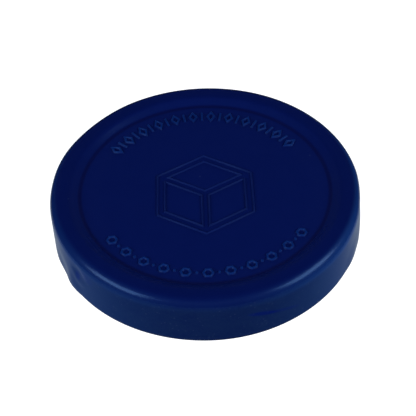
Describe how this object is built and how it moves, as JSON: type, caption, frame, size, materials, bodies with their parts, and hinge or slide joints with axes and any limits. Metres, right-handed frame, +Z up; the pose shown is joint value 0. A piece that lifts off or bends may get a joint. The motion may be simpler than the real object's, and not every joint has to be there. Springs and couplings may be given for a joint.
{
  "type": "bottle base bumper",
  "caption": "Shallow round elastic cup that slips over a bottle's foot to cushion it, with a standing rim round a shallow recess and low raised patterns on its foot face.",
  "frame": {"origin": "centre of the open mouth, in the plane that the cup rests on when it lies mouth down", "axes": "+Z up along the cup's axis, from the open mouth through the foot face on which the bottle stands in use; -Y is the side of the arc of hexagons, and +Y the side of the arc of lozenges"},
  "size_m": [0.08, 0.08, 0.0138],
  "materials": {
    "silicone": "matte",
    "raised_silicone": "matte"
  },
  "bodies": {
    "root": {"bumper_shell": "silicone", "emblem_frame": "raised_silicone", "emblem_face_top": "raised_silicone", "emblem_face_left": "raised_silicone", "emblem_face_right": "raised_silicone", "upper_lozenge_01": "raised_silicone", "upper_lozenge_02": "raised_silicone", "upper_lozenge_03": "raised_silicone", "upper_lozenge_04": "raised_silicone", "upper_lozenge_05": "raised_silicone", "upper_lozenge_06": "raised_silicone", "upper_lozenge_07": "raised_silicone", "upper_lozenge_08": "raised_silicone", "upper_lozenge_09": "raised_silicone", "upper_lozenge_10": "raised_silicone", "upper_lozenge_11": "raised_silicone", "upper_lozenge_12": "raised_silicone", "upper_bar_01": "raised_silicone", "upper_bar_02": "raised_silicone", "upper_bar_03": "raised_silicone", "upper_bar_04": "raised_silicone", "upper_bar_05": "raised_silicone", "upper_bar_06": "raised_silicone", "upper_bar_07": "raised_silicone", "upper_bar_08": "raised_silicone", "upper_bar_09": "raised_silicone", "upper_bar_10": "raised_silicone", "upper_bar_11": "raised_silicone", "lower_hexagon_01": "raised_silicone", "lower_hexagon_02": "raised_silicone", "lower_hexagon_03": "raised_silicone", "lower_hexagon_04": "raised_silicone", "lower_hexagon_05": "raised_silicone", "lower_hexagon_06": "raised_silicone", "lower_hexagon_07": "raised_silicone", "lower_hexagon_08": "raised_silicone", "lower_hexagon_09": "raised_silicone", "lower_hexagon_10": "raised_silicone", "lower_hexagon_11": "raised_silicone", "lower_dot_01": "raised_silicone", "lower_dot_02": "raised_silicone", "lower_dot_03": "raised_silicone", "lower_dot_04": "raised_silicone", "lower_dot_05": "raised_silicone", "lower_dot_06": "raised_silicone", "lower_dot_07": "raised_silicone", "lower_dot_08": "raised_silicone", "lower_dot_09": "raised_silicone", "lower_dot_10": "raised_silicone"}
  },
  "joints": []
}
